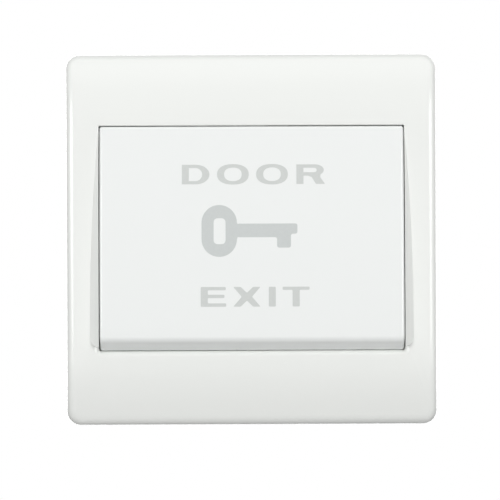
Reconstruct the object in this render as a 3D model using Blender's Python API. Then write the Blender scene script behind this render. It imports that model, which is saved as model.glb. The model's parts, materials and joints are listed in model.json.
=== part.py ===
"""Door exit button for a square 86 mm wall box.

One large button hangs on two side pins at the top of a clip-on face frame. Pressing it swings
its lower edge in, and a boss behind it pushes a plunger, which carries a contact bar on to two
fixed contacts. The frame clips over a mounting plate that is screwed to the wall box, and the
switch is fastened through that plate.

Metres, +Z up. The origin is the middle of the wall plane and the front faces -Y. A depth is
measured from the wall plane towards the front, so behind the wall it is negative.
"""

import math

import bmesh
import bpy
from mathutils import Vector

# Fits
FIT = 0.0003  # between pieces that bear on each other
LOOSE_FIT = 0.0004  # round a piece that moves or drops in
JOIN = 0.0004  # how far a rib or boss reaches into the wall that carries it
STEP_BACK = 0.00005  # keeps the faces of joined forms off one plane

# Face frame
FRAME_SIDE = 0.0860
FRAME_DEPTH = 0.0085  # wall plane to the flat middle of the front
FRAME_CORNER = 0.0032
FRAME_EDGE_ROUND = 0.0015
SKIRT_DRAFT = math.radians(4.0)  # the sides lean in towards the front
SKIRT_WALL = 0.0018
FRONT_WALL = 0.0020
SIDE_BAND = 0.00785  # frame's side to the opening
TOP_BAND = 0.0167
BOTTOM_BAND = 0.01745
ARCH_BAND = 0.0164  # height over which the front bends back, above and below
ARCH_RADIUS = 0.0440
OPENING_CORNER = 0.0003
LIP_ROUND = 0.0012  # lower edge of the opening
EDGE_BREAK = 0.0003  # upper edge of the opening
COLLAR_WALL = 0.0013
COLLAR_DEPTH = 0.0052  # wall plane to the collar's rear edge
FRAME_RIB = 0.0010
SIDE_RIB_HEIGHT = 0.0130  # ribs in the side bands, above and below the middle
END_RIB_SPREAD = 0.0120  # ribs in the upper and lower bands, from the middle
PRY_WIDTH = 0.0080
PRY_DEPTH = 0.0009

# Cheeks, the raised wedges of the frame at both sides of the button
CHEEK_WIDTH = 0.00205
CHEEK_SLOPE = math.radians(47.0)
CHEEK_SINK = 0.00005
CHEEK_DROP = 0.0012  # start of the cheek below the button's top
CHEEK_FOOT_LIFT = 0.0010  # end of the foot above the opening's lower edge
CHEEK_FOOT_HEIGHT = 0.0023
CHEEK_FOOT_TURN = math.radians(80.0)  # how far round the foot is cut

# Clip hooks of the frame
HOOK_SPREAD = 0.0200
HOOK_WIDTH = 0.0060
HOOK_REACH = 0.0009

# Push button
BUTTON_SIDE_FIT = 0.0003
BUTTON_TOP_FIT = 0.0003
BUTTON_TOE_FIT = 0.0003
BUTTON_RISE = 0.0030  # how far the lower edge stands in front of the frame
BUTTON_WALL = 0.0016
BUTTON_EDGE_ROUND = 0.0006
BUTTON_RIM_ROUND = 0.0007
TOE_ROUND = 0.0019
TOE_HEIGHT = 0.0026  # height of the chamfer under the face
TOE_SET = 0.0006  # how far the chamfer runs in behind the frame's front
BUTTON_TOP_REAR = 0.0043  # depth of the rear edge at the top
BUTTON_TOE_REAR = 0.0056  # and at the bottom
BUTTON_RIB = 0.0010
BUTTON_RIB_SPREAD = 0.0240
BUTTON_RIB_REAR = 0.0076
BOSS_RADIUS = 0.0025
CATCH_SPREAD = 0.0220
CATCH_WIDTH = 0.0050
CATCH_REACH = 0.0011
CATCH_HEIGHT = 0.0009

# Hinge of the button
TOE_TRAVEL = 0.00276  # how far the lower edge can be pressed in
PIVOT_DEPTH = 0.0058
PIVOT_DROP = 0.0020  # below the button's top edge
PIN_RADIUS = 0.0012
PIN_LENGTH = 0.0022  # beyond the button's side
EAR_THICKNESS = 0.0022
EAR_HALF_HEIGHT = 0.0027
EAR_DEPTH = 0.0035  # wall plane to the ear's rear edge
PIN_MOUTH = 0.0019  # narrower than the pin, which is pressed in

# Mounting plate
PLATE_THICKNESS = 0.0020
PLATE_LIP = 0.0008  # what is left of the plate in front of the hooks
PLATE_RIM_WALL = 0.0016
PLATE_RIM_HEIGHT = 0.0013
PLATE_RIM_INSET = 0.0006
PLATE_RIB = 0.0012
PLATE_RIB_Z = 0.0300
SLOT_INSET = 0.01285  # frame's side to the middle of a slot
SLOT_LENGTH = 0.0090
SLOT_WIDTH = 0.0050
PAD_MARGIN = 0.0023
PAD_HEIGHT = 0.0008
SCREW_BOSS_RADIUS = 0.0032
SCREW_BOSS_LENGTH = 0.0040

# Switch base
BASE_WIDTH = 0.0390
BASE_HEIGHT = 0.0260
BASE_REACH = 0.0115  # wall plane to the rear face
BASE_WALL = 0.0015
BASE_CORNER = 0.0010
FLANGE_SIDE_GAP = 0.00085  # between the flange and the plate's pads
FLANGE_LUG = 0.0080  # how far the flange reaches past the base above and below
FLANGE_THICKNESS = 0.0015
CHAMBER_WIDTH = 0.0210
CHAMBER_END_WALL = 0.0016
FLOOR_WALL = 0.0016
POCKET_RISE = 0.0050  # top of a terminal pocket above the middle
GUIDE_RIB = 0.0010
GUIDE_REACH = 0.0022
SEAT_RADIUS = 0.0016
SEAT_HEIGHT = 0.0020

# Switch cover
COVER_WIDTH = 0.0350
COVER_OVERLAP = 0.0015  # past the chamber above and below
COVER_THICKNESS = 0.0012
COVER_LIP = 0.0010
COVER_LIP_DEPTH = 0.0012

# Plunger
STEM_RADIUS = 0.0025
STEM_STAND = 0.0019  # in front of the cover
STEM_ROUND = 0.0014
SHOULDER_RADIUS = 0.0040
SHOULDER_LENGTH = 0.0012
SPIGOT_RADIUS = 0.0016
SPIGOT_LENGTH = 0.0046

# Contacts
BAR_LENGTH = 0.0196
BAR_WIDTH = 0.0050
BAR_THICKNESS = 0.0008
BAR_CORNER = 0.0010
CONTACT_SPREAD = 0.0080
CONTACT_RADIUS = 0.0016
CONTACT_HEAD = 0.0007
CONTACT_ROUND = 0.0004
RIVET_RADIUS = 0.0007
CONTACT_SPARE = 0.00008  # left between the contacts when the button is fully in

# Terminals
STRIP_THICKNESS = 0.0008
STRIP_INNER_END = 0.0062
STRIP_CORNER = 0.0007
TONGUE_WIDTH = 0.0040
TERMINAL_PAD_WIDTH = 0.0048
TERMINAL_PAD_HEIGHT = 0.0064
WIRE_SPACE = 0.0015
CLAMP_WIDTH = 0.0052
CLAMP_HEIGHT = 0.0058
CLAMP_THICKNESS = 0.0010
CLAMP_LIP = 0.0007

# Screws: head radius, head height, shank radius, shank length
TERMINAL_SCREW = (0.0024, 0.0018, 0.0014, 0.0063)
MODULE_SCREW = (0.0024, 0.0017, 0.0012, 0.0062)
COVER_SCREW = (0.0020, 0.0014, 0.0009, 0.0052)
DRIVER_SLOT_WIDTH = 0.0007
DRIVER_SLOT_SHARE = 0.5  # of the head's height
HEAD_ROUND_SHARE = 0.5  # of the head's height
POINT_SHARE = 0.35  # of the shank's radius

# Return spring
SPRING_WIRE = 0.0006
SPRING_RADIUS = 0.0023  # to the middle of the wire
SPRING_TURNS = 7
SPRING_CLOSED_PITCH = 0.0007

# Facets
CORNER_STEPS = 5
END_STEPS = 6
SIDE_STEPS = 20
EDGE_STEPS = 4
END_ROUND_STEPS = 2
FRONT_STEPS = 5
NEAR_EDGE = 0.05  # share of the front that its first and last rings take
FACE_STEPS = 14
ROUND_STEPS = 20
COIL_STEPS = 14

# Heights worked out from the sizes above
FRAME_HALF = FRAME_SIDE / 2
FRAME_INNER = FRAME_HALF - SKIRT_WALL
OPENING_HALF = FRAME_HALF - SIDE_BAND
OPENING_TOP = FRAME_HALF - TOP_BAND
OPENING_BOTTOM = BOTTOM_BAND - FRAME_HALF
OPENING_HEIGHT = OPENING_TOP - OPENING_BOTTOM
ARCH_FLAT_HALF = FRAME_HALF - ARCH_BAND
BUTTON_HALF = OPENING_HALF - BUTTON_SIDE_FIT
BUTTON_TOP = OPENING_TOP - BUTTON_TOP_FIT
BUTTON_BOTTOM = OPENING_BOTTOM + BUTTON_TOE_FIT
TOE_Z = BUTTON_BOTTOM + TOE_HEIGHT
PIVOT_Z = BUTTON_TOP - PIVOT_DROP
PRESS_ANGLE = math.atan(TOE_TRAVEL / (PIVOT_Z - BUTTON_BOTTOM))
PLATE_HALF = FRAME_INNER - LOOSE_FIT
SLOT_SPACING = FRAME_SIDE - 2 * SLOT_INSET
CHAMBER_HALF = CHAMBER_WIDTH / 2
POCKET_INNER = CHAMBER_HALF + BASE_WALL
POCKET_OUTER = BASE_WIDTH / 2 - BASE_WALL
FLANGE_WIDTH = SLOT_SPACING - SLOT_LENGTH - 2 * (PAD_MARGIN + FLANGE_SIDE_GAP)
FLANGE_HEIGHT = BASE_HEIGHT + 2 * FLANGE_LUG
CHAMBER_HEIGHT = BASE_HEIGHT - 2 * CHAMBER_END_WALL
COVER_HEIGHT = CHAMBER_HEIGHT + 2 * COVER_OVERLAP
TERMINAL_SPREAD = (POCKET_INNER + POCKET_OUTER) / 2
MODULE_SCREW_Z = (BASE_HEIGHT + FLANGE_LUG) / 2
COVER_SCREW_Z = (BASE_HEIGHT / 2 + POCKET_RISE) / 2

# Depths of the switch, from the plate back to the terminal screws
PLUNGER_TRAVEL = PIVOT_Z * PRESS_ANGLE
FLANGE_FRONT = PLATE_THICKNESS + FIT + FLANGE_THICKNESS
COVER_REAR = FLANGE_FRONT + FIT
COVER_FRONT = COVER_REAR + COVER_THICKNESS
STEM_TIP = COVER_FRONT + STEM_STAND
SHOULDER_FRONT = COVER_REAR - FIT
SHOULDER_REAR = SHOULDER_FRONT - SHOULDER_LENGTH
BAR_FRONT = SHOULDER_REAR - FIT
BAR_REAR = BAR_FRONT - BAR_THICKNESS
MOVING_FACE = BAR_REAR - FIT - CONTACT_HEAD
FIXED_FACE = MOVING_FACE - PLUNGER_TRAVEL - CONTACT_SPARE
STRIP_FRONT = FIXED_FACE - CONTACT_HEAD - FIT
STRIP_REAR = STRIP_FRONT - STRIP_THICKNESS
LEDGE_DEPTH = STRIP_FRONT + FIT
CLAMP_FRONT = STRIP_REAR - WIRE_SPACE
CLAMP_REAR = CLAMP_FRONT - CLAMP_THICKNESS
FLOOR_DEPTH = FLOOR_WALL - BASE_REACH
MODULE_SEAT = FLANGE_FRONT + FIT
COVER_SEAT = COVER_FRONT + FIT
TERMINAL_SEAT = CLAMP_REAR - FIT

TOWARDS_FRONT = Vector((0, -1, 0))
ACROSS = Vector((1, 0, 0))


def at(x, depth, z):
    """A point, with its depth counted from the wall plane towards the front."""
    return Vector((x, -depth, z))


def arch_depth(z):
    """Depth of the frame's front at a height: flat in the middle, bent back at both ends."""
    past = max(0.0, abs(z) - ARCH_FLAT_HALF)
    return FRAME_DEPTH - ARCH_RADIUS + math.sqrt(ARCH_RADIUS**2 - past**2)


def swell(z):
    """Share of the button's full rise at a height: none at the top, all of it at the toe."""
    return 1.0 - ((z - TOE_Z) / (BUTTON_TOP - TOE_Z)) ** 2


def face_depth(z):
    return FRAME_DEPTH + BUTTON_RISE * swell(z)


def spread(start, end, steps):
    return [start + (end - start) * i / steps for i in range(steps + 1)]


def eased(start, end, steps):
    """Values from start to end that lie closer together near both."""
    return [start + (end - start) * (1.0 - math.cos(math.pi * share)) / 2 for share in spread(0, 1, steps)]


# Outlines in x and z, and sections in z and depth


def rounded_outline(half_width, low, high, radius):
    """Rounded rectangle that has the same count of points whatever its size."""
    x, top, bottom = half_width - radius, high - radius, low + radius
    arcs = []
    for centre_x, centre_z, start in ((x, top, 0), (-x, top, 90), (-x, bottom, 180), (x, bottom, 270)):
        turns = [math.radians(angle) for angle in spread(start, start + 90, CORNER_STEPS)]
        arcs.append([(centre_x + radius * math.cos(a), centre_z + radius * math.sin(a)) for a in turns])
    points = []
    for arc, following, steps in zip(arcs, arcs[1:] + arcs[:1], (END_STEPS, SIDE_STEPS) * 2):
        run = zip(eased(arc[-1][0], following[0][0], steps), eased(arc[-1][1], following[0][1], steps))
        points += arc + list(run)[1:-1]
    return points


def plain_outline(width, height, radius=0.0, centre=(0.0, 0.0)):
    """Rectangle with its corners rounded, or square where the radius is 0."""
    steps = CORNER_STEPS if radius else 0
    points = []
    for side, end, start in ((1, 1, 0), (-1, 1, 90), (-1, -1, 180), (1, -1, 270)):
        corner = (centre[0] + side * (width / 2 - radius), centre[1] + end * (height / 2 - radius))
        for step in range(steps + 1):
            angle = math.radians(start + 90 * step / max(steps, 1))
            points.append((corner[0] + radius * math.cos(angle), corner[1] + radius * math.sin(angle)))
    return points


def blended(first, second, share):
    return [(a[0] + (b[0] - a[0]) * share, a[1] + (b[1] - a[1]) * share) for a, b in zip(first, second)]


def offset_path(path, distance):
    """The open path moved to its left by a distance, with mitred corners."""
    moved = []
    for i, point in enumerate(path):
        before = path[max(i - 1, 0)]
        after = path[min(i + 1, len(path) - 1)]
        into = Vector(point) - Vector(before) if i else Vector(after) - Vector(point)
        out = Vector(after) - Vector(point) if i < len(path) - 1 else into
        first = Vector((-into.y, into.x)).normalized()
        second = Vector((-out.y, out.x)).normalized()
        mitre = (first + second) / (1.0 + first.dot(second))
        moved.append(tuple(Vector(point) + mitre * distance))
    return moved


def fillet(before, corner, after, radius):
    """Arc that rounds one corner of a path."""
    corner = Vector(corner)
    into, out = (Vector(before) - corner).normalized(), (Vector(after) - corner).normalized()
    half = into.angle(out) / 2
    centre = corner + (into + out).normalized() * radius / math.sin(half)
    start = corner + into * radius / math.tan(half) - centre
    end = corner + out * radius / math.tan(half) - centre
    turn = start.angle_signed(end)
    aside = Vector((start.y, -start.x))
    turns = spread(0.0, turn, EDGE_STEPS)
    return [tuple(centre + start * math.cos(angle) + aside * math.sin(angle)) for angle in turns]


# Closed meshes


def lofted(rings, closed=False):
    """Closed body through rings of the same count of points, capped unless the rings close."""
    bm = bmesh.new()
    loops = [[bm.verts.new(point) for point in ring] for ring in rings]
    following = loops[1:] + loops[:1] if closed else loops[1:]
    for near, far in zip(loops, following):
        for i in range(len(near)):
            bm.faces.new((near[i - 1], near[i], far[i], far[i - 1]))
    if not closed:
        bm.faces.new(loops[0])
        bm.faces.new(loops[-1])
    bmesh.ops.recalc_face_normals(bm, faces=bm.faces)
    return bm


def slab(outline, front, rear):
    """An outline in x and z, extruded from one depth to another."""
    return lofted([[at(x, depth, z) for x, z in outline] for depth in (front, rear)])


def beam(section, start, end):
    """A section in z and depth, extruded across the width."""
    return lofted([[at(x, depth, z) for z, depth in section] for x in (start, end)])


def post(section, low, high):
    """A section in x and depth, extruded upwards."""
    return lofted([[at(x, depth, z) for x, depth in section] for z in (low, high)])


def block(x_range, depth_range, z_range):
    (x0, x1), (z0, z1) = x_range, z_range
    return slab([(x0, z0), (x1, z0), (x1, z1), (x0, z1)], *depth_range)


def band(outer, inner, front, rear):
    """Wall between two outlines of the same count of points."""
    walls = [(outer, rear), (outer, front), (inner, front), (inner, rear)]
    return lofted([[at(x, depth, z) for x, z in outline] for outline, depth in walls], closed=True)


def turned(profile, centre=(0.0, 0.0, 0.0), axis=TOWARDS_FRONT, steps=ROUND_STEPS):
    """Body of revolution from (radius, distance along the axis) pairs."""
    side = axis.orthogonal().normalized()
    other = axis.cross(side)
    rings = []
    for radius, along in profile:
        middle = Vector(centre) + axis * along
        turns = [2 * math.pi * i / steps for i in range(steps)]
        rings.append([middle + (side * math.cos(a) + other * math.sin(a)) * radius for a in turns])
    return lofted(rings)


def drilled(radius, front, rear, x=0.0, z=0.0):
    """Round cutter along the depth."""
    return turned([(radius, front), (radius, rear)], centre=(x, 0.0, z))


def screw_bore(size, seat, mouth, towards=1, x=0.0, z=0.0):
    """Cutter from a mouth to a fit past the point of a screw, and a fit wider than its shank."""
    _, _, shank, length = size
    return drilled(shank + FIT, mouth, seat - towards * (length + FIT), x, z)


def rounded_end(radius, corner, tip, towards=1):
    """Profile of a turned end whose rim is rounded, from its flat outwards."""
    turns = spread(math.pi / 2, 0.0, END_ROUND_STEPS)
    return [(radius - corner * (1 - math.cos(a)), tip - towards * corner * (1 - math.sin(a))) for a in turns]


# Objects


def material(name, colour, roughness, metallic=0.0):
    finish = bpy.data.materials.new(name)
    finish.use_nodes = True
    shader = finish.node_tree.nodes["Principled BSDF"]
    shader.inputs["Base Color"].default_value = (*colour, 1.0)
    shader.inputs["Roughness"].default_value = roughness
    shader.inputs["Metallic"].default_value = metallic
    finish.diffuse_color = (*colour, 1.0)
    return finish


def finishes():
    """One material for each kind of surface, with linear colours."""
    return {
        "frame": material("frame_white", (0.88, 0.90, 0.87), 0.30),
        "button": material("button_white", (0.88, 0.89, 0.88), 0.28),
        "plate": material("plate_white", (0.80, 0.81, 0.79), 0.45),
        "base": material("base_black", (0.03, 0.03, 0.032), 0.50),
        "cover": material("cover_ivory", (0.72, 0.68, 0.58), 0.45),
        "plunger": material("plunger_natural", (0.78, 0.76, 0.70), 0.40),
        "brass": material("brass", (0.72, 0.52, 0.24), 0.32, 1.0),
        "silver": material("contact_silver", (0.83, 0.82, 0.79), 0.25, 1.0),
        "steel": material("zinc_steel", (0.62, 0.63, 0.64), 0.35, 1.0),
        "spring": material("spring_steel", (0.55, 0.56, 0.58), 0.28, 1.0),
    }


def piece(name, bm, finish, carrier=None):
    """A sub-part; one that moves is parented to an empty on its joint's axis."""
    if carrier:
        bmesh.ops.translate(bm, verts=bm.verts, vec=-carrier.location)
    mesh = bpy.data.meshes.new(name)
    bm.to_mesh(mesh)
    bm.free()
    mesh.materials.append(finish)
    mesh.shade_smooth()
    mesh.set_sharp_from_angle(angle=math.radians(30))
    made = bpy.data.objects.new(name, mesh)
    bpy.context.scene.collection.objects.link(made)
    made.parent = carrier
    return made


def shape_with(target, operation, forms):
    """Join forms to a piece, or cut them from it. Forms of one call stand clear of each other."""
    merged = bmesh.new()
    for form in forms:
        shared = bpy.data.meshes.new("form")
        form.to_mesh(shared)
        form.free()
        merged.from_mesh(shared)
        bpy.data.meshes.remove(shared)
    name = f"{target.name}_{operation.lower()}_{len(target.modifiers)}"
    mesh = bpy.data.meshes.new(name)
    merged.to_mesh(mesh)
    merged.free()
    tool = bpy.data.objects.new(name, mesh)
    tool.hide_render = True
    tool.display_type = "WIRE"
    bpy.context.scene.collection.objects.link(tool)
    modifier = target.modifiers.new(name, "BOOLEAN")
    modifier.operation = operation
    modifier.solver = "EXACT"
    modifier.object = tool


def join(target, *forms):
    shape_with(target, "UNION", forms)


def cut(target, *forms):
    shape_with(target, "DIFFERENCE", forms)


def axis_empty(name, place):
    empty = bpy.data.objects.new(name, None)
    empty.location = place
    empty.empty_display_size = FRAME_DEPTH
    bpy.context.scene.collection.objects.link(empty)
    return empty


# Face frame


def frame_outline(inset):
    half = FRAME_HALF - inset
    return rounded_outline(half, -half, half, max(FRAME_CORNER - inset, EDGE_BREAK))


def drafted_outline(inset):
    """The frame's outline at its front, drawn in by the draft of the skirt below each point."""
    points = []
    for x, z in frame_outline(inset):
        lean = (arch_depth(z) - FRAME_EDGE_ROUND) * math.tan(SKIRT_DRAFT) / FRAME_HALF
        points.append((x * (1.0 - lean), z * (1.0 - lean)))
    return points


def opening_outline(offset):
    return rounded_outline(
        OPENING_HALF + offset, OPENING_BOTTOM - offset, OPENING_TOP + offset, OPENING_CORNER + offset
    )


def on_front(outline, behind=0.0):
    return [at(x, arch_depth(z) - behind, z) for x, z in outline]


def lip_ring(turn):
    """One ring of the opening's rounded edge, which is wide below and narrow above."""
    edge, clear = opening_outline(0.0), opening_outline(LIP_ROUND)
    ring = []
    for inner, outer in zip(edge, clear):
        fall = min(max((OPENING_TOP - inner[1]) / OPENING_HEIGHT, 0.0), 1.0)
        radius = EDGE_BREAK + (LIP_ROUND - EDGE_BREAK) * fall
        out = radius * (1.0 - math.sin(turn)) / LIP_ROUND
        x, z = inner[0] + (outer[0] - inner[0]) * out, inner[1] + (outer[1] - inner[1]) * out
        ring.append(at(x, arch_depth(z) - radius * (1.0 - math.cos(turn)), z))
    return ring


def frame_body():
    """The moulding's skin, lofted once round from the rear rim over the front to the inside."""
    quarter = spread(0.0, math.pi / 2, EDGE_STEPS)
    rings = [[at(x, 0.0, z) for x, z in frame_outline(0.0)]]
    for turn in quarter:
        outline = drafted_outline(FRAME_EDGE_ROUND * (1.0 - math.cos(turn)))
        rings.append(on_front(outline, FRAME_EDGE_ROUND * (1.0 - math.sin(turn))))
    near, far = drafted_outline(FRAME_EDGE_ROUND), opening_outline(LIP_ROUND)
    for share in spread(NEAR_EDGE, 1.0 - NEAR_EDGE, FRONT_STEPS):
        rings.append(on_front(blended(near, far, share)))
    rings += [lip_ring(turn) for turn in quarter]
    rings.append([at(x, COLLAR_DEPTH, z) for x, z in opening_outline(0.0)])
    rings.append([at(x, COLLAR_DEPTH, z) for x, z in opening_outline(COLLAR_WALL)])
    near, far = opening_outline(COLLAR_WALL), frame_outline(SKIRT_WALL)
    for share in spread(0.0, 1.0, FRONT_STEPS):
        rings.append(on_front(blended(near, far, share), FRONT_WALL))
    rings.append([at(x, 0.0, z) for x, z in far])
    return lofted(rings, closed=True)


def cheek(side):
    """Wedge beside the opening whose ridge follows the button's swell, cut off round at its foot."""
    inner = OPENING_HALF + STEP_BACK
    root = FRAME_DEPTH - LIP_ROUND - JOIN
    rise = math.tan(CHEEK_SLOPE)
    end_z = OPENING_BOTTOM + CHEEK_FOOT_LIFT
    foot_z = end_z + CHEEK_FOOT_HEIGHT
    upper = spread(BUTTON_TOP - CHEEK_DROP, foot_z, FACE_STEPS)
    stations = [(z, 1.0) for z in upper]
    for turn in spread(0.0, CHEEK_FOOT_TURN, EDGE_STEPS)[1:]:
        stations.append((foot_z - CHEEK_FOOT_HEIGHT * math.sin(turn), math.cos(turn)))
    rings = []
    for z, share in stations:
        ridge = arch_depth(z) + CHEEK_WIDTH * swell(z) * rise
        foot = (CHEEK_WIDTH * swell(z) + CHEEK_SINK / rise) * share
        outer = inner + foot
        section = ((inner, root), (outer, root), (outer, ridge - foot * rise), (inner, ridge))
        rings.append([at(side * x, depth, z) for x, depth in section])
    return lofted(rings)


def hinge_ear(side):
    """Block behind the front wall that holds one pin."""
    low, high, corner = PIVOT_Z - EAR_HALF_HEIGHT, PIVOT_Z + EAR_HALF_HEIGHT, EAR_HALF_HEIGHT / 2
    root = FRAME_DEPTH - FRONT_WALL / 2
    section = [
        (low, root),
        (low, EAR_DEPTH + corner),
        (low + corner, EAR_DEPTH),
        (high - corner, EAR_DEPTH),
        (high, EAR_DEPTH + corner),
        (high, root),
    ]
    inner = OPENING_HALF + STEP_BACK
    return beam(section, side * inner, side * (inner + EAR_THICKNESS))


def pin_bore(side):
    """Bore for a pin, open to the rear through a mouth that the pin is pressed past."""
    radius, half = PIN_RADIUS + FIT, PIN_MOUTH / 2
    lead = math.asin(half / radius)
    beyond = EAR_DEPTH - EAR_THICKNESS
    section = [(PIVOT_Z + half, beyond)]
    for turn in spread(lead, 2 * math.pi - lead, ROUND_STEPS):
        section.append((PIVOT_Z + radius * math.sin(turn), PIVOT_DEPTH - radius * math.cos(turn)))
    section.append((PIVOT_Z - half, beyond))
    start = OPENING_HALF - EAR_THICKNESS / 2
    return beam(section, side * start, side * (OPENING_HALF + EAR_THICKNESS * 2))


def clip_hook(end, x):
    """Barb inside the skirt that catches behind the plate's lip."""
    front = PLATE_THICKNESS - PLATE_LIP - FIT
    rear = STEP_BACK * 2
    tip = FRAME_INNER - HOOK_REACH
    section = [
        (FRAME_INNER + JOIN, rear),
        (FRAME_INNER - STEP_BACK, rear),
        (tip, front / 2),
        (tip, front),
        (FRAME_INNER + JOIN, front),
    ]
    return beam([(end * z, depth) for z, depth in section], x - HOOK_WIDTH / 2, x + HOOK_WIDTH / 2)


def side_rib(side, z):
    rear = PLATE_THICKNESS + PLATE_RIM_HEIGHT + FIT
    start, end = OPENING_HALF + COLLAR_WALL - JOIN, FRAME_INNER + JOIN
    x_range = (side * start, side * end)
    return block(x_range, (FRAME_DEPTH - FRONT_WALL / 2, rear), (z - FRAME_RIB / 2, z + FRAME_RIB / 2))


def end_rib(end, x):
    """Rib across the upper or lower band, which bends back with the front."""
    rear = PLATE_THICKNESS + PLATE_RIM_HEIGHT + FIT
    collar = OPENING_TOP if end > 0 else -OPENING_BOTTOM
    heights = spread(collar + COLLAR_WALL - JOIN, FRAME_INNER + JOIN, FRONT_STEPS)
    section = [(end * z, arch_depth(z) - FRONT_WALL / 2) for z in heights]
    section += [(end * heights[-1], rear), (end * heights[0], rear)]
    return beam(section, x - FRAME_RIB / 2, x + FRAME_RIB / 2)


def catch_window(x):
    """Notch in the lower collar that the button's catch moves in."""
    half = CATCH_WIDTH / 2 + LOOSE_FIT * 2
    front = FRAME_DEPTH - FRONT_WALL - EDGE_BREAK
    z_range = (OPENING_BOTTOM - COLLAR_WALL - LOOSE_FIT, OPENING_BOTTOM + COLLAR_WALL)
    return block((x - half, x + half), (front, COLLAR_DEPTH - COLLAR_WALL), z_range)


def face_frame(finish):
    frame = piece("face_frame", frame_body(), finish)
    join(frame, cheek(-1), cheek(1))
    join(frame, hinge_ear(-1), hinge_ear(1))
    ends, sides = (-1, 1), (-1, 1)
    join(frame, *[clip_hook(end, side * HOOK_SPREAD) for end in ends for side in sides])
    join(
        frame,
        *[side_rib(side, end * SIDE_RIB_HEIGHT) for side in sides for end in ends],
        *[end_rib(end, side * END_RIB_SPREAD) for end in ends for side in sides],
    )
    cut(frame, pin_bore(-1), pin_bore(1))
    cut(frame, *[catch_window(side * CATCH_SPREAD) for side in sides])
    pry_z = (-FRAME_HALF - SKIRT_WALL, -FRAME_INNER + SKIRT_WALL / 2)
    cut(frame, block((-PRY_WIDTH / 2, PRY_WIDTH / 2), (PRY_DEPTH, -PRY_DEPTH), pry_z))
    return frame


# Push button


def button_path():
    """Side view of the cap from its top rear edge over the face to its bottom rear edge."""
    heights = spread(BUTTON_TOP, TOE_Z, FACE_STEPS)
    path = [(BUTTON_TOP, BUTTON_TOP_REAR)]
    path += [(z, face_depth(z)) for z in heights]
    path += [(BUTTON_BOTTOM, FRAME_DEPTH - TOE_SET), (BUTTON_BOTTOM, BUTTON_TOE_REAR)]
    return path


def button_section(inset):
    """The side view moved inwards, with its three corners rounded."""
    path = offset_path(button_path(), inset)
    first, toe, last = 1, FACE_STEPS + 1, FACE_STEPS + 2
    rim = BUTTON_RIM_ROUND - inset
    section = [path[0]] + fillet(path[0], path[first], path[first + 1], rim)
    section += path[first + 1 : toe]
    section += fillet(path[toe - 1], path[toe], path[last], TOE_ROUND - inset)
    section += fillet(path[toe], path[last], path[last + 1], rim) + [path[-1]]
    return section


def cap_body():
    """Sections across the width, drawn in at both sides to round the edges."""
    rings = []
    quarter = spread(0.0, math.pi / 2, EDGE_STEPS)
    ends = []
    for turn in quarter:
        inset = BUTTON_EDGE_ROUND * (1.0 - math.sin(turn))
        ends.append((BUTTON_HALF - BUTTON_EDGE_ROUND * (1.0 - math.cos(turn)), inset))
    for x, inset in ends:
        rings.append([at(-x, depth, z) for z, depth in button_section(inset)])
    for x, inset in reversed(ends):
        rings.append([at(x, depth, z) for z, depth in button_section(inset)])
    return lofted(rings)


def hollow_section(wall):
    """Inside of the cap, open to the rear."""
    path = offset_path(button_path(), wall)
    return [(path[0][0], 0.0)] + path[1:-1] + [(path[-1][0], 0.0)]


def hinge_pin(side):
    start, end = BUTTON_HALF - BUTTON_WALL + STEP_BACK * 2, BUTTON_HALF + PIN_LENGTH
    lead = PIN_RADIUS / 4
    profile = [(PIN_RADIUS, start), (PIN_RADIUS, end - lead), (PIN_RADIUS - lead, end)]
    return turned(profile, centre=at(0.0, PIVOT_DEPTH, PIVOT_Z), axis=ACROSS * side)


def plunger_boss():
    root = face_depth(0.0) - BUTTON_WALL + JOIN
    tip = STEM_TIP + FIT
    taper = BOSS_RADIUS / 8
    return turned([(BOSS_RADIUS + taper, root), (BOSS_RADIUS, tip + taper), (BOSS_RADIUS - taper, tip)])


def button_rib(x):
    """Web down the inside of the face, on both sides of the switch."""
    path = offset_path(button_path(), BUTTON_WALL - JOIN)
    section = [(path[1][0], BUTTON_RIB_REAR)] + path[1:-1] + [(path[-1][0], BUTTON_RIB_REAR)]
    section = [p for p in section if p[1] >= BUTTON_RIB_REAR]
    return beam(section, x - BUTTON_RIB / 2, x + BUTTON_RIB / 2)


def retaining_catch(x):
    """Barb under the toe that stops the button behind the frame's front wall."""
    front = FRAME_DEPTH - FRONT_WALL - EDGE_BREAK - FIT
    tip = BUTTON_BOTTOM - CATCH_REACH
    root = BUTTON_BOTTOM + JOIN
    section = [
        (root, front),
        (tip, front),
        (tip, front - CATCH_HEIGHT / 2),
        (BUTTON_BOTTOM - STEP_BACK, front - CATCH_HEIGHT),
        (root, front - CATCH_HEIGHT),
    ]
    return beam(section, x - CATCH_WIDTH / 2, x + CATCH_WIDTH / 2)


def push_button(finish, pivot):
    button = piece("push_button", cap_body(), finish, pivot)
    inner = BUTTON_HALF - BUTTON_WALL
    cut(button, beam(hollow_section(BUTTON_WALL), -inner, inner))
    join(button, hinge_pin(-1), hinge_pin(1), plunger_boss())
    join(button, *[button_rib(side * BUTTON_RIB_SPREAD) for side in (-1, 1)])
    join(button, *[retaining_catch(side * CATCH_SPREAD) for side in (-1, 1)])
    return button


# Mounting plate


def square_outline(half, radius):
    return rounded_outline(half, -half, half, radius)


def slot_outline(margin=0.0):
    """The two oblong screw holes, or what lies a margin outside them."""
    length, width = SLOT_LENGTH + 2 * margin, SLOT_WIDTH + 2 * margin
    radius = width / 2 - STEP_BACK
    return [plain_outline(length, width, radius, (side * SLOT_SPACING / 2, 0.0)) for side in (-1, 1)]


def plate_rim():
    outer = PLATE_HALF - PLATE_RIM_INSET
    corner = FRAME_CORNER - SKIRT_WALL
    inner = outer - PLATE_RIM_WALL
    front = PLATE_THICKNESS + PLATE_RIM_HEIGHT
    rear = PLATE_THICKNESS - JOIN
    return band(square_outline(outer, corner), square_outline(inner, corner / 2), front, rear)


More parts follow.
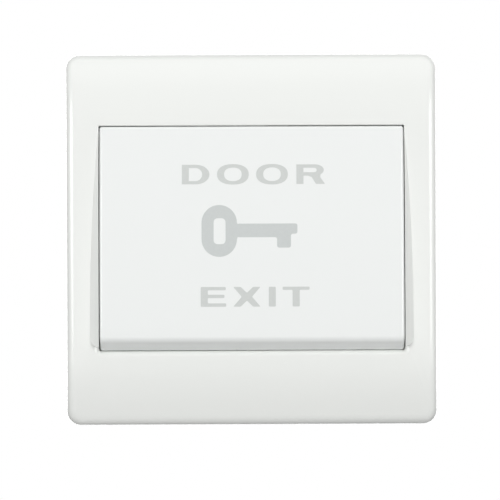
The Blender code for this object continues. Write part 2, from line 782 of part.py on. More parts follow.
def plate_rib(z):
    end = PLATE_HALF - PLATE_RIM_INSET - PLATE_RIM_WALL / 2
    depth_range = (PLATE_THICKNESS + PLATE_RIM_HEIGHT - STEP_BACK, PLATE_THICKNESS - JOIN)
    return block((-end, end), depth_range, (z - PLATE_RIB / 2, z + PLATE_RIB / 2))


def hook_recess(end, x):
    """Step in the plate's rear edge that a clip hook sits in."""
    half = HOOK_WIDTH / 2 + LOOSE_FIT
    inner = FRAME_INNER - HOOK_REACH - LOOSE_FIT
    z_range = (end * inner, end * (FRAME_INNER + SKIRT_WALL))
    return block((x - half, x + half), (PLATE_THICKNESS - PLATE_LIP, -PLATE_LIP), z_range)


def mounting_plate(finish):
    corner = FRAME_CORNER - SKIRT_WALL
    outline = square_outline(PLATE_HALF, corner)
    plate = piece("mounting_plate", slab(outline, PLATE_THICKNESS, 0.0), finish)
    join(plate, plate_rim())
    join(plate, *[plate_rib(end * PLATE_RIB_Z) for end in (-1, 1)])
    pad_front = PLATE_THICKNESS + PAD_HEIGHT
    pads = [slab(pad, pad_front, PLATE_THICKNESS - JOIN) for pad in slot_outline(PAD_MARGIN)]
    root = PLATE_THICKNESS / 2
    boss = [(SCREW_BOSS_RADIUS, root), (SCREW_BOSS_RADIUS, -SCREW_BOSS_LENGTH)]
    bosses = [turned(boss, centre=(0.0, 0.0, end * MODULE_SCREW_Z)) for end in (-1, 1)]
    join(plate, *pads, *bosses)
    beyond = PLATE_THICKNESS * 2
    cut(plate, *[slab(slot, beyond, -beyond) for slot in slot_outline()])
    window = plain_outline(BASE_WIDTH + 2 * LOOSE_FIT, BASE_HEIGHT + 2 * LOOSE_FIT, BASE_CORNER)
    cut(plate, slab(window, beyond, -beyond))
    cut(plate, *[screw_bore(MODULE_SCREW, MODULE_SEAT, beyond, z=end * MODULE_SCREW_Z) for end in (-1, 1)])
    cut(plate, *[hook_recess(end, side * HOOK_SPREAD) for end in (-1, 1) for side in (-1, 1)])
    return plate


# Switch base and its cover


def terminal_pocket(side):
    """Pocket for a terminal, open to the rear and below for the screwdriver and the wire."""
    x_range = (side * POCKET_INNER, side * POCKET_OUTER)
    return block(x_range, (LEDGE_DEPTH, -BASE_REACH - BASE_WALL), (-BASE_HEIGHT, POCKET_RISE))


def strip_slot(side):
    """Slot in the partition that the terminal strip passes through."""
    half = TONGUE_WIDTH / 2 + LOOSE_FIT
    middle = (CHAMBER_HALF + POCKET_INNER) / 2
    x_range = (side * (middle - BASE_WALL), side * (middle + BASE_WALL))
    return block(x_range, (STRIP_FRONT + LOOSE_FIT, STRIP_REAR - LOOSE_FIT), (-half, half))


def guide_rib(side, end):
    """Rib that keeps the contact bar from turning."""
    inner = BAR_WIDTH / 2 + LOOSE_FIT
    front = COVER_REAR - COVER_LIP_DEPTH - FIT
    x_range = (side * (CHAMBER_HALF - GUIDE_REACH), side * (CHAMBER_HALF + JOIN))
    return block(x_range, (front, FLOOR_DEPTH - JOIN), (end * inner, end * (inner + GUIDE_RIB)))


def cover_screw_places():
    return [("left", -TERMINAL_SPREAD, -COVER_SCREW_Z), ("right", TERMINAL_SPREAD, COVER_SCREW_Z)]


def switch_base(finish):
    flange = plain_outline(FLANGE_WIDTH, FLANGE_HEIGHT, BASE_CORNER * 2)
    base = piece("switch_base", slab(flange, FLANGE_FRONT, FLANGE_FRONT - FLANGE_THICKNESS), finish)
    body = plain_outline(BASE_WIDTH, BASE_HEIGHT, BASE_CORNER)
    join(base, slab(body, FLANGE_FRONT - FLANGE_THICKNESS / 2, -BASE_REACH))
    beyond = FLANGE_FRONT + FLANGE_THICKNESS
    cut(base, slab(plain_outline(CHAMBER_WIDTH, CHAMBER_HEIGHT, BASE_CORNER), beyond, FLOOR_DEPTH))
    cut(base, terminal_pocket(-1), terminal_pocket(1))
    cut(base, strip_slot(-1), strip_slot(1))
    tip = FLOOR_DEPTH + SEAT_HEIGHT
    seat = [(SEAT_RADIUS, FLOOR_DEPTH - JOIN), (SEAT_RADIUS, tip - JOIN), (SEAT_RADIUS - JOIN, tip)]
    join(base, turned(seat), *[guide_rib(side, end) for side in (-1, 1) for end in (-1, 1)])
    places = (-TERMINAL_SPREAD, TERMINAL_SPREAD)
    cut(
        base,
        *[screw_bore(COVER_SCREW, COVER_SEAT, beyond, x=x, z=z) for _, x, z in cover_screw_places()],
        *[screw_bore(TERMINAL_SCREW, TERMINAL_SEAT, STRIP_REAR, -1, x) for x in places],
        *[screw_bore(MODULE_SCREW, MODULE_SEAT, beyond, z=end * MODULE_SCREW_Z) for end in (-1, 1)],
    )
    return base


def switch_cover(finish):
    outline = plain_outline(COVER_WIDTH, COVER_HEIGHT, BASE_CORNER)
    cover = piece("switch_cover", slab(outline, COVER_FRONT, COVER_REAR), finish)
    walls = []
    for inset, corner in ((LOOSE_FIT, BASE_CORNER), (LOOSE_FIT + COVER_LIP, BASE_CORNER / 2)):
        half_height = CHAMBER_HEIGHT / 2 - inset
        walls.append(rounded_outline(CHAMBER_HALF - inset, -half_height, half_height, corner))
    join(cover, band(*walls, COVER_REAR + JOIN, COVER_REAR - COVER_LIP_DEPTH))
    beyond = COVER_FRONT + COVER_THICKNESS
    cut(
        cover,
        drilled(STEM_RADIUS + FIT, beyond, 0.0),
        *[screw_bore(COVER_SCREW, COVER_SEAT, beyond, x=x, z=z) for _, x, z in cover_screw_places()],
    )
    return cover


# Plunger, contacts and spring


def plunger(finish, carrier):
    spigot_end = SHOULDER_REAR - SPIGOT_LENGTH
    lead = SPIGOT_RADIUS / 4
    profile = [
        *rounded_end(STEM_RADIUS, STEM_ROUND, STEM_TIP),
        (STEM_RADIUS, SHOULDER_FRONT),
        (SHOULDER_RADIUS, SHOULDER_FRONT),
        (SHOULDER_RADIUS, SHOULDER_REAR),
        (SPIGOT_RADIUS, SHOULDER_REAR),
        (SPIGOT_RADIUS, spigot_end + lead),
        (SPIGOT_RADIUS - lead, spigot_end),
    ]
    return piece("plunger", turned(profile), finish, carrier)


def bridge_contact(finish, carrier):
    outline = plain_outline(BAR_LENGTH, BAR_WIDTH, BAR_CORNER)
    bar = piece("bridge_contact", slab(outline, BAR_FRONT, BAR_REAR), finish, carrier)
    front, rear = BAR_FRONT + BAR_THICKNESS, BAR_REAR - BAR_THICKNESS
    rivet_holes = [drilled(RIVET_RADIUS + FIT, front, rear, side * CONTACT_SPREAD) for side in (-1, 1)]
    cut(bar, drilled(SPIGOT_RADIUS + FIT, front, rear), *rivet_holes)
    return bar


def contact_rivet(name, finish, x, face, towards, shank, carrier=None):
    """Rivet with its contact face at a depth; its shank runs the other way through its carrier."""
    profile = [
        *rounded_end(CONTACT_RADIUS, CONTACT_ROUND, face, towards),
        (CONTACT_RADIUS, face - towards * CONTACT_HEAD),
        (RIVET_RADIUS, face - towards * CONTACT_HEAD),
        (RIVET_RADIUS, face - towards * (CONTACT_HEAD + FIT + shank)),
    ]
    return piece(name, turned(profile, centre=(x, 0.0, 0.0)), finish, carrier)


def contact_rivets(finish, carrier):
    for label, side in (("left", -1), ("right", 1)):
        x = side * CONTACT_SPREAD
        contact_rivet(f"moving_contact_{label}", finish, x, MOVING_FACE, -1, BAR_THICKNESS, carrier)
        contact_rivet(f"fixed_contact_{label}", finish, x, FIXED_FACE, 1, STRIP_THICKNESS)


def strip_outline(side):
    """Stamped strip: a narrow tongue in the chamber and a wide pad under the screw."""
    tongue, pad = TONGUE_WIDTH / 2, TERMINAL_PAD_HEIGHT / 2
    shoulder = TERMINAL_SPREAD - TERMINAL_PAD_WIDTH / 2
    end = TERMINAL_SPREAD + TERMINAL_PAD_WIDTH / 2
    corner = STRIP_CORNER
    half = [
        (STRIP_INNER_END, tongue - corner),
        (STRIP_INNER_END + corner, tongue),
        (shoulder, tongue),
        (shoulder, pad),
        (end - corner, pad),
        (end, pad - corner),
    ]
    return [(side * x, z) for x, z in half] + [(side * x, -z) for x, z in reversed(half)]


def terminal_strips(finish):
    for label, side in (("left", -1), ("right", 1)):
        body = slab(strip_outline(side), STRIP_FRONT, STRIP_REAR)
        strip = piece(f"terminal_strip_{label}", body, finish)
        front, rear = STRIP_FRONT + STRIP_THICKNESS, STRIP_REAR - STRIP_THICKNESS
        rivet_hole = drilled(RIVET_RADIUS + FIT, front, rear, side * CONTACT_SPREAD)
        screw_hole = screw_bore(TERMINAL_SCREW, TERMINAL_SEAT, rear, -1, side * TERMINAL_SPREAD)
        cut(strip, rivet_hole, screw_hole)


def wire_clamps(finish):
    """Saddle clamps whose side lips reach towards the strip and keep the wire in."""
    half, lip = CLAMP_WIDTH / 2, CLAMP_LIP
    lip_front = CLAMP_FRONT + WIRE_SPACE / 2
    section = [
        (-half, CLAMP_REAR),
        (half, CLAMP_REAR),
        (half, lip_front),
        (half - lip, lip_front),
        (half - lip, CLAMP_FRONT),
        (lip - half, CLAMP_FRONT),
        (lip - half, lip_front),
        (-half, lip_front),
    ]
    for label, side in (("left", -1), ("right", 1)):
        middle = side * TERMINAL_SPREAD
        body = post([(middle + x, depth) for x, depth in section], -CLAMP_HEIGHT / 2, CLAMP_HEIGHT / 2)
        clamp = piece(f"wire_clamp_{label}", body, finish)
        cut(clamp, screw_bore(TERMINAL_SCREW, TERMINAL_SEAT, CLAMP_REAR - CLAMP_THICKNESS, -1, middle))


def screw(name, size, finish, x, z, seat, towards):
    """Pan-head screw with its head standing off a seat, towards the front (1) or the rear (-1)."""
    head, height, shank, length = size
    top, point = seat + towards * height, shank * POINT_SHARE
    profile = [
        *rounded_end(head, height * HEAD_ROUND_SHARE, top, towards),
        (head, seat),
        (shank, seat),
        (shank, seat - towards * (length - point)),
        (shank - point, seat - towards * length),
    ]
    made = piece(name, turned(profile, centre=(x, 0.0, z)), finish)
    x_range = (x - head * 2, x + head * 2)
    z_range = (z - DRIVER_SLOT_WIDTH / 2, z + DRIVER_SLOT_WIDTH / 2)
    cut(made, block(x_range, (top + towards * height, top - towards * height * DRIVER_SLOT_SHARE), z_range))
    return made


def screws(finish):
    for label, x in (("left", -TERMINAL_SPREAD), ("right", TERMINAL_SPREAD)):
        screw(f"terminal_screw_{label}", TERMINAL_SCREW, finish, x, 0.0, TERMINAL_SEAT, -1)
    for label, end in (("lower", -1), ("upper", 1)):
        screw(f"module_screw_{label}", MODULE_SCREW, finish, 0.0, end * MODULE_SCREW_Z, MODULE_SEAT, 1)
    for label, x, z in cover_screw_places():
        screw(f"cover_screw_{label}", COVER_SCREW, finish, x, z, COVER_SEAT, 1)


def return_spring(finish):
    """Compression spring between the contact bar and the chamber's floor, with closed end turns."""
    first = BAR_REAR - FIT - SPRING_WIRE / 2
    last = FLOOR_DEPTH + FIT + SPRING_WIRE / 2
    open_pitch = (first - last - 2 * SPRING_CLOSED_PITCH) / (SPRING_TURNS - 2)
    places = []
    for step in range(SPRING_TURNS * COIL_STEPS + 1):
        turn = step / COIL_STEPS
        middle = min(max(turn - 1, 0), SPRING_TURNS - 2)
        drop = SPRING_CLOSED_PITCH * (turn - middle) + open_pitch * middle
        angle = 2 * math.pi * turn
        places.append(at(SPRING_RADIUS * math.cos(angle), first - drop, SPRING_RADIUS * math.sin(angle)))
    curve = bpy.data.curves.new("return_spring", "CURVE")
    curve.dimensions = "3D"
    curve.bevel_depth = SPRING_WIRE / 2
    curve.bevel_resolution = 1
    curve.use_fill_caps = True
    spline = curve.splines.new("POLY")
    spline.points.add(len(places) - 1)
    for point, place in zip(spline.points, places):
        point.co = (*place, 1.0)
    curve.materials.append(finish)
    spring = bpy.data.objects.new("return_spring", curve)
    bpy.context.scene.collection.objects.link(spring)
    return spring


def main():
    for old in list(bpy.data.objects):
        bpy.data.objects.remove(old)
    finish = finishes()
    button_pivot = axis_empty("button_pivot", at(0.0, PIVOT_DEPTH, PIVOT_Z))
    plunger_axis = axis_empty("plunger_axis", at(0.0, STEM_TIP, 0.0))
    face_frame(finish["frame"])
    push_button(finish["button"], button_pivot)
    mounting_plate(finish["plate"])
    switch_base(finish["base"])
    switch_cover(finish["cover"])
    plunger(finish["plunger"], plunger_axis)
    bridge_contact(finish["brass"], plunger_axis)
    contact_rivets(finish["silver"], plunger_axis)
    terminal_strips(finish["brass"])
    wire_clamps(finish["steel"])
    screws(finish["steel"])
    return_spring(finish["spring"])


main()
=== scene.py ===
"""Looks of the door exit button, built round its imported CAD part.

Metres, +Z up, front towards -Y. Rigid pieces are the CAD nodes with procedural materials. Copies
of the frame and the button, whose front edges are closer together, replace those two nodes, and
a finer coil replaces the return spring. The printed key and words ride on the button.
"""

import json
import math

import bmesh
import bpy
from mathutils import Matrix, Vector
from mathutils.bvhtree import BVHTree

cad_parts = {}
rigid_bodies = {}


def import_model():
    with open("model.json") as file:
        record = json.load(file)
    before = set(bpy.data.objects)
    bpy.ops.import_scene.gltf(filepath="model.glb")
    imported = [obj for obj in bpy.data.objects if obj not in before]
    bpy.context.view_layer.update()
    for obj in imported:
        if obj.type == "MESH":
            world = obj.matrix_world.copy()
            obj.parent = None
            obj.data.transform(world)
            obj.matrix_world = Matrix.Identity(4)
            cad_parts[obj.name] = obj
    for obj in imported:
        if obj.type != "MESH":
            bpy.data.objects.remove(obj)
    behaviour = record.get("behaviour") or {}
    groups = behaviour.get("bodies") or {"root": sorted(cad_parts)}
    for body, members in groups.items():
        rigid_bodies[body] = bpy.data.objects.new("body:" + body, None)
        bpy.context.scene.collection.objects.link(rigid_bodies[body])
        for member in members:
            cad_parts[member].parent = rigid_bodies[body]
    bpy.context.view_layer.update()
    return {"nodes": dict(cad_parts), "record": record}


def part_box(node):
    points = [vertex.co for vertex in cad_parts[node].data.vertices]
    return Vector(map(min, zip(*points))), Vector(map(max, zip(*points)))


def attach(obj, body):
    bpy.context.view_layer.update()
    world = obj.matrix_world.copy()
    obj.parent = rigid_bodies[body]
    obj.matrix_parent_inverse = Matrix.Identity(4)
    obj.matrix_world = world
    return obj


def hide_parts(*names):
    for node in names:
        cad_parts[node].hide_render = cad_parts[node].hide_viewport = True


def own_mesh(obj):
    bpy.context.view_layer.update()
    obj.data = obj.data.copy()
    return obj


# Plastic
CLOUD_SCALE = 70.0
GLOSS_SCALE = 420.0
GLOSS_SPREAD = 0.02
# name: colour, roughness, mottle, scale of the grain, height of the grain
PLASTICS = {
    "frame_white": ((0.870, 0.885, 0.860), 0.22, 0.0015, 1600.0, 0.0000008),
    "button_white": ((0.870, 0.888, 0.877), 0.22, 0.0015, 1600.0, 0.0000008),
    "plate_white": ((0.78, 0.79, 0.76), 0.48, 0.015, 2600.0, 0.000004),
    "base_black": ((0.028, 0.028, 0.030), 0.48, 0.20, 2600.0, 0.000006),
    "cover_ivory": ((0.70, 0.66, 0.55), 0.45, 0.02, 2600.0, 0.000004),
    "plunger_natural": ((0.76, 0.74, 0.67), 0.38, 0.02, 2600.0, 0.000002),
}

# Metal
STREAK_SCALE = 900.0
STREAK_HEIGHT = 0.000004
STREAK_SHINE = 0.08  # how much glossier a streak may be
STREAK_DULL = 0.12  # how much duller
# name: bright colour, dull colour, roughness, stretch of the streaks, scale of the dull patches
METALS = {
    "brass": ((0.74, 0.55, 0.26), (0.58, 0.40, 0.17), 0.32, (1.0, 0.2, 12.0), 260.0),
    "contact_silver": ((0.85, 0.84, 0.81), (0.70, 0.68, 0.62), 0.28, (3.0, 3.0, 3.0), 600.0),
    "zinc_steel": ((0.66, 0.67, 0.69), (0.52, 0.54, 0.58), 0.34, (1.0, 6.0, 1.0), 420.0),
    "spring_steel": ((0.58, 0.59, 0.61), (0.44, 0.44, 0.46), 0.30, (1.0, 8.0, 1.0), 500.0),
}

# Ink
INK_ROUGHNESS = 0.42
COVER_SCALE = 1500.0
COVER_SPREAD = 0.015
INK_GRAIN_SCALE = 3000.0
INK_GRAIN_HEIGHT = 0.000002
INKS = {
    "print_grey": (0.578, 0.605, 0.597),
    "print_grey_thin": (0.607, 0.628, 0.612),
}

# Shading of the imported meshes
JOIN_DISTANCE = 0.0000005
SMOOTH_ANGLE = math.radians(32.0)  # an edge that turns by more stays sharp

# Front edges of frame and button
CLOSE_REAR = 0.0064  # depths between which frame and button come closer together
CLOSE_FRONT = 0.0078
CLOSE_BORDER = 0.0010  # border of frame and button that takes up the change
PACKED_GAP = 0.0003
CAP_RIGHT_GROWTH = 0.00015
CAP_TOE_GROWTH = 0.00022
CAP_TOE_DROP = 0.00035  # of the edge between face and chamfer, beyond the growth
CAP_LOWER = 0.0180  # height over which the toe's drop fades in, below the middle
FRAME_LEFT_GROWTH = 0.00012  # of the frame into its opening
FRAME_TOP_GROWTH = 0.00015

# Print
PRINT_PROUD = 0.00002
PRINT_SUNK = 0.00003
PRINT_STRIP = 0.0008  # height of the strips that let the print follow the curved face
RAY_START = -0.05  # in front of the button, for finding its face
LETTER_TOP = 4.54  # millimetres, like the three radii below and all outlines of the print
LETTER_ROUND = 0.22
KEY_ROUND = 0.55
KEY_SLOT_ROUND = 1.05
OVAL_FULLNESS = 2.3  # 2 for an ellipse, and more for a squarer form

# Lamps and camera
# name: azimuth, elevation, distance, size, power
LAMPS = {
    "lamp_left": (-32.0, 6.0, 1.0, (0.45, 0.32), 3.45),
    "lamp_right": (32.0, 6.0, 1.0, (0.45, 0.32), 3.3),
    "lamp_top": (0.0, 52.0, 1.2, (1.4, 0.9), 3.9),
    "lamp_behind": (170.0, 10.0, 1.1, (1.6, 1.2), 9.5),
}
CAMERA_PLACE = (-0.0052, -0.700, 0.0001)
CAMERA_TURN = (89.789, 0.226, -0.402)  # degrees
CAMERA_LENS = 216.7  # millimetres, on a sensor 36 mm wide

for old in list(bpy.data.objects):
    bpy.data.objects.remove(old)
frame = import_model()
nodes = frame["nodes"]


def added(name, data):
    """New object in the scene with the given data."""
    made = bpy.data.objects.new(name, data)
    bpy.context.scene.collection.objects.link(made)
    return made


def mesh_from(shape, name):
    """Mesh with the faces of a bmesh, which is freed."""
    mesh = bpy.data.meshes.new(name)
    shape.to_mesh(mesh)
    shape.free()
    return mesh


# Materials


def shader_of(name, colour, roughness, metallic=0.0):
    made = bpy.data.materials.new(name)
    made.use_nodes = True
    shader = made.node_tree.nodes["Principled BSDF"]
    shader.inputs["Base Color"].default_value = (*colour, 1.0)
    shader.inputs["Roughness"].default_value = roughness
    shader.inputs["Metallic"].default_value = metallic
    return made, made.node_tree, shader


def noise(tree, scale, detail=2.0, stretch=(1.0, 1.0, 1.0)):
    """Noise in the object's own coordinates, so that it moves with the piece."""
    place = tree.nodes.new("ShaderNodeTexCoord")
    mapping = tree.nodes.new("ShaderNodeMapping")
    mapping.inputs["Scale"].default_value = stretch
    texture = tree.nodes.new("ShaderNodeTexNoise")
    texture.inputs["Scale"].default_value = scale
    texture.inputs["Detail"].default_value = detail
    tree.links.new(place.outputs["Object"], mapping.inputs["Vector"])
    tree.links.new(mapping.outputs["Vector"], texture.inputs["Vector"])
    return texture.outputs["Fac"]


def ranged(tree, source, low, high, middle=(0.3, 0.7)):
    """Spreads the middle of the source, by default a noise, over low to high."""
    spread = tree.nodes.new("ShaderNodeMapRange")
    spread.inputs["From Min"].default_value, spread.inputs["From Max"].default_value = middle
    spread.inputs["To Min"].default_value = low
    spread.inputs["To Max"].default_value = high
    tree.links.new(source, spread.inputs["Value"])
    return spread.outputs["Result"]


def mixed(tree, source, first, second):
    mix = tree.nodes.new("ShaderNodeMix")
    mix.data_type = "RGBA"
    mix.inputs["A"].default_value = (*first, 1.0)
    mix.inputs["B"].default_value = (*second, 1.0)
    tree.links.new(source, mix.inputs["Factor"])
    return mix.outputs["Result"]


def bumped(tree, shader, source, height):
    bump = tree.nodes.new("ShaderNodeBump")
    bump.inputs["Strength"].default_value = 1.0
    bump.inputs["Distance"].default_value = height
    tree.links.new(source, bump.inputs["Height"])
    tree.links.new(bump.outputs["Normal"], shader.inputs["Normal"])


def shades(colour, spread):
    """The colour a little darker and a little lighter."""
    return [tuple(min(1.0, c * share) for c in colour) for share in (1.0 - spread, 1.0 + spread)]


def moulded(name, colour, roughness, mottle, grain, grain_height):
    """Moulded plastic: slow cloudy tone, uneven gloss and the mould's fine texture."""
    made, tree, shader = shader_of(name, colour, roughness)
    cloud = ranged(tree, noise(tree, CLOUD_SCALE, 3.0), 0.0, 1.0)
    tree.links.new(mixed(tree, cloud, *shades(colour, mottle)), shader.inputs["Base Color"])
    uneven = noise(tree, GLOSS_SCALE)
    gloss = ranged(tree, uneven, roughness - GLOSS_SPREAD, roughness + GLOSS_SPREAD)
    tree.links.new(gloss, shader.inputs["Roughness"])
    bumped(tree, shader, noise(tree, grain, 3.0), grain_height)
    return made


def metal(name, colour, dull, roughness, streak, patch_scale):
    """Drawn or stamped metal: dull patches over the bright colour and fine drawing streaks."""
    made, tree, shader = shader_of(name, colour, roughness, 1.0)
    patches = ranged(tree, noise(tree, patch_scale, 4.0), 0.0, 1.0)
    tree.links.new(mixed(tree, patches, colour, dull), shader.inputs["Base Color"])
    lines = noise(tree, STREAK_SCALE, 2.0, streak)
    gloss = ranged(tree, lines, roughness - STREAK_SHINE, roughness + STREAK_DULL)
    tree.links.new(gloss, shader.inputs["Roughness"])
    bumped(tree, shader, lines, STREAK_HEIGHT)
    return made


def ink(name, colour):
    """Pad-printed ink: slightly uneven cover on the plastic under it."""
    made, tree, shader = shader_of(name, colour, INK_ROUGHNESS)
    cover = ranged(tree, noise(tree, COVER_SCALE, 4.0), 0.0, 1.0)
    tree.links.new(mixed(tree, cover, *shades(colour, COVER_SPREAD)), shader.inputs["Base Color"])
    bumped(tree, shader, noise(tree, INK_GRAIN_SCALE), INK_GRAIN_HEIGHT)
    return made


finishes = {name: moulded(name, *look) for name, look in PLASTICS.items()}
finishes |= {name: metal(name, *look) for name, look in METALS.items()}
finishes |= {name: ink(name, colour) for name, colour in INKS.items()}
for part in frame["record"]["subparts"]:
    nodes[part["node"]].data.materials.clear()
    nodes[part["node"]].data.materials.append(finishes[part["material_slot"]])


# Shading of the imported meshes, which come with every facet flat


def gentle_edges_smooth():
    """Node group that shades gentle edges smooth and leaves every vertex in its place."""
    tree = bpy.data.node_groups.new("gentle_edges_smooth", "GeometryNodeTree")
    for side in ("INPUT", "OUTPUT"):
        tree.interface.new_socket("Geometry", in_out=side, socket_type="NodeSocketGeometry")
    entry, leaving = tree.nodes.new("NodeGroupInput"), tree.nodes.new("NodeGroupOutput")
    joined = tree.nodes.new("GeometryNodeMergeByDistance")
    joined.inputs["Distance"].default_value = JOIN_DISTANCE
    turn = tree.nodes.new("GeometryNodeInputMeshEdgeAngle")
    sharp = tree.nodes.new("FunctionNodeCompare")
    sharp.data_type, sharp.operation = "FLOAT", "GREATER_THAN"
    sharp.inputs["B"].default_value = SMOOTH_ANGLE
    shaded = tree.nodes.new("GeometryNodeSetMeshNormal")
    shaded.inputs["Remove Custom"].default_value = True
    tree.links.new(entry.outputs["Geometry"], joined.inputs["Geometry"])
    tree.links.new(turn.outputs["Unsigned Angle"], sharp.inputs["A"])
    tree.links.new(joined.outputs["Geometry"], shaded.inputs["Mesh"])
    tree.links.new(sharp.outputs["Result"], shaded.inputs["Edge Sharpness"])
    tree.links.new(shaded.outputs["Mesh"], leaving.inputs["Geometry"])
    return tree


smooth_group = gentle_edges_smooth()


def shade_gently(piece):
    piece.modifiers.new("smooth", "NODES").node_group = smooth_group
    piece.modifiers.new("weigh_normals", "WEIGHTED_NORMAL").keep_sharp = True


for node in nodes.values():
    shade_gently(node)


# Front with the photograph's narrow gaps, where the solids keep room to move


def ramp(value, start, end):
    """0 at the start, 1 at the end, straight between them and level beyond them."""
    return min(1.0, max(0.0, (value - start) / (end - start)))


def close_fitting(node, body, moved):
    """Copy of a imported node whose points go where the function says."""
    mesh = nodes[node].data.copy()
    mesh.name = node + "_close"
    for vert in mesh.vertices:
        vert.co = moved(vert.co.copy())
    made = added(node + "_close", mesh)
    shade_gently(made)
    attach(made, body)
    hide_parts(node)
    return made


def cap_outline():
    """Half width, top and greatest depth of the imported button's front."""
    front = [v.co for v in nodes["push_button"].data.vertices if -v.co.y > CLOSE_FRONT]
    return max(c.x for c in front), max(c.z for c in front), max(-c.y for c in front)


CAP_HALF, CAP_TOP, CAP_DEPTH = cap_outline()


def closer_cap(place):
    """Wider to the right, and the toe lower and steeper."""
    forward = ramp(-place.y, CLOSE_REAR, CLOSE_FRONT)
    side = CAP_RIGHT_GROWTH * ramp(place.x, CAP_HALF - CLOSE_BORDER, CAP_HALF)
    toe = CAP_TOE_GROWTH + CAP_TOE_DROP * ramp(-place.y, CLOSE_FRONT, CAP_DEPTH)
    drop = toe * ramp(-place.z, 0.0, CAP_LOWER)
    return place + Vector((side, 0.0, -drop)) * forward


def closer_frame(place):
    """Opening narrower at its left and its top, with the change fading out round it."""
    forward = ramp(-place.y, CLOSE_REAR, CLOSE_FRONT)
    left, top = CAP_HALF + PACKED_GAP, CAP_TOP + PACKED_GAP
    below_top = ramp(place.z, top + CLOSE_BORDER, top)
    beside = ramp(-place.x, left + CLOSE_BORDER, left) * below_top
    beside *= ramp(place.x, -CAP_HALF / 2, -CAP_HALF)
    above = below_top * ramp(place.z, 0.0, top - CLOSE_BORDER)
    above *= ramp(abs(place.x), left + CLOSE_BORDER, left)
    growth = Vector((FRAME_LEFT_GROWTH * beside, 0.0, -FRAME_TOP_GROWTH * above))
    return place + growth * forward


close_fitting("face_frame", "housing", closer_frame)
button = close_fitting("push_button", "button", closer_cap)


# Print on the button, from outlines in x and z in millimetres


def arc(centre, radii, start, end, steps=14):
    turns = [math.radians(start + (end - start) * i / steps) for i in range(steps + 1)]
    return [(centre[0] + radii[0] * math.cos(a), centre[1] + radii[1] * math.sin(a)) for a in turns]


def oval(centre, radii, steps=56):
    """Closed round form, squarer than an ellipse."""
    points = []
    for i in range(steps):
        c, s = math.cos(2 * math.pi * i / steps), math.sin(2 * math.pi * i / steps)
        across = math.copysign(abs(c) ** (2 / OVAL_FULLNESS), c)
        along = math.copysign(abs(s) ** (2 / OVAL_FULLNESS), s)
        points.append((centre[0] + radii[0] * across, centre[1] + radii[1] * along))
    return points


def soft_corners(points, radius, steps):
    """The closed outline with each corner rounded."""
    rounded = []
    for i, point in enumerate(points):
        corner = Vector(point)
        into = Vector(points[i - 1]) - corner
        out = Vector(points[(i + 1) % len(points)]) - corner
        reach = min(radius, into.length / 2, out.length / 2)
        first, last = corner + into.normalized() * reach, corner + out.normalized() * reach
        for step in range(steps + 1):
            t = step / steps
            spot = first * (1 - t) ** 2 + corner * 2 * t * (1 - t) + last * t**2
            rounded.append((spot.x, spot.y))
    return rounded


def straight_letter(points):
    return [soft_corners(points, LETTER_ROUND, 2)]


def letter_d():
    outer = [(0.0, 0.0)] + arc((3.3, 2.27), (3.12, 2.27), -90, 90) + [(0.0, LETTER_TOP)]
    inner = [(1.62, 0.74)] + arc((3.1, 2.27), (1.62, 1.53), -90, 90) + [(1.62, 3.80)]
    return [outer, inner]


def letter_o():
    middle = (3.68, 2.285)
    return [oval(middle, (3.68, 2.375)), oval(middle, (2.04, 1.575))]


def letter_r():
    outer = [(0.0, 0.0), (1.64, 0.0), (1.64, 1.92), (2.75, 1.92)]
    outer += [(3.55, 1.59), (4.55, 0.0), (6.62, 0.0), (5.55, 1.54)]
    outer += arc((4.35, 3.24), (2.03, 1.30), -52, 90, 10) + [(0.0, LETTER_TOP)]
    inner = [(1.64, 2.72)] + arc((4.1, 3.24), (0.62, 0.52), -90, 90, 8) + [(1.64, 3.76)]
    return [outer, inner]


def letter_e():
    return straight_letter([
        (0.0, 0.0), (5.85, 0.0), (5.85, 0.77), (1.62, 0.77), (1.62, 2.0), (5.44, 2.0),
        (5.44, 2.76), (1.62, 2.76), (1.62, 3.77), (5.76, 3.77), (5.76, LETTER_TOP),
        (0.0, LETTER_TOP),
    ])


def letter_x():
    return straight_letter([
        (0.0, 0.0), (1.70, 0.0), (3.125, 1.38), (4.55, 0.0), (6.25, 0.0), (4.30, 2.27),
        (6.25, LETTER_TOP), (4.55, LETTER_TOP), (3.125, 3.16), (1.70, LETTER_TOP),
        (0.0, LETTER_TOP), (1.95, 2.27),
    ])


def letter_i():
    return straight_letter([(0.0, 0.0), (1.6, 0.0), (1.6, LETTER_TOP), (0.0, LETTER_TOP)])


def letter_t():
    return straight_letter([
        (2.28, 0.0), (3.92, 0.0), (3.92, 3.82), (6.2, 3.82),
        (6.2, LETTER_TOP), (0.0, LETTER_TOP), (0.0, 3.82), (2.28, 3.82),
    ])


def key_outline():
    """Plain key sign: a round-ended bow with a slot, a shaft and one bit."""
    half, top, bottom = 4.05, 7.90, -3.98
    middle = -7.41
    shaft = soft_corners([
        (-3.37, 0.49), (5.85, 0.49), (5.85, -1.91), (9.01, -1.91),
        (9.01, 1.27), (10.51, 1.27), (10.51, 3.61), (-3.37, 3.61),
    ], KEY_ROUND, 5)
    bow = arc((middle, bottom + half), (half, half), 180, 360, 24)
    bow += shaft[3:-3]  # without the half of the end corners that lies inside the bow
    bow += arc((middle, top - half), (half, half), 0, 180, 24)
    slot = [(-8.69, -1.08), (-5.96, -1.08), (-5.96, 4.87), (-8.69, 4.87)]
    return [bow, soft_corners(slot, KEY_SLOT_ROUND, 7)]


def word(low, high, letters):
    """Letters drawn from their lower left corner, set between two heights."""
    share = (high - low) / LETTER_TOP
    return [
        [[(start + x * share, low + z * share) for x, z in outline] for outline in letter()]
        for start, letter in letters
    ]


button_face = BVHTree.FromPolygons(
    [tuple(v.co) for v in button.data.vertices], [tuple(p.vertices) for p in button.data.polygons]
)


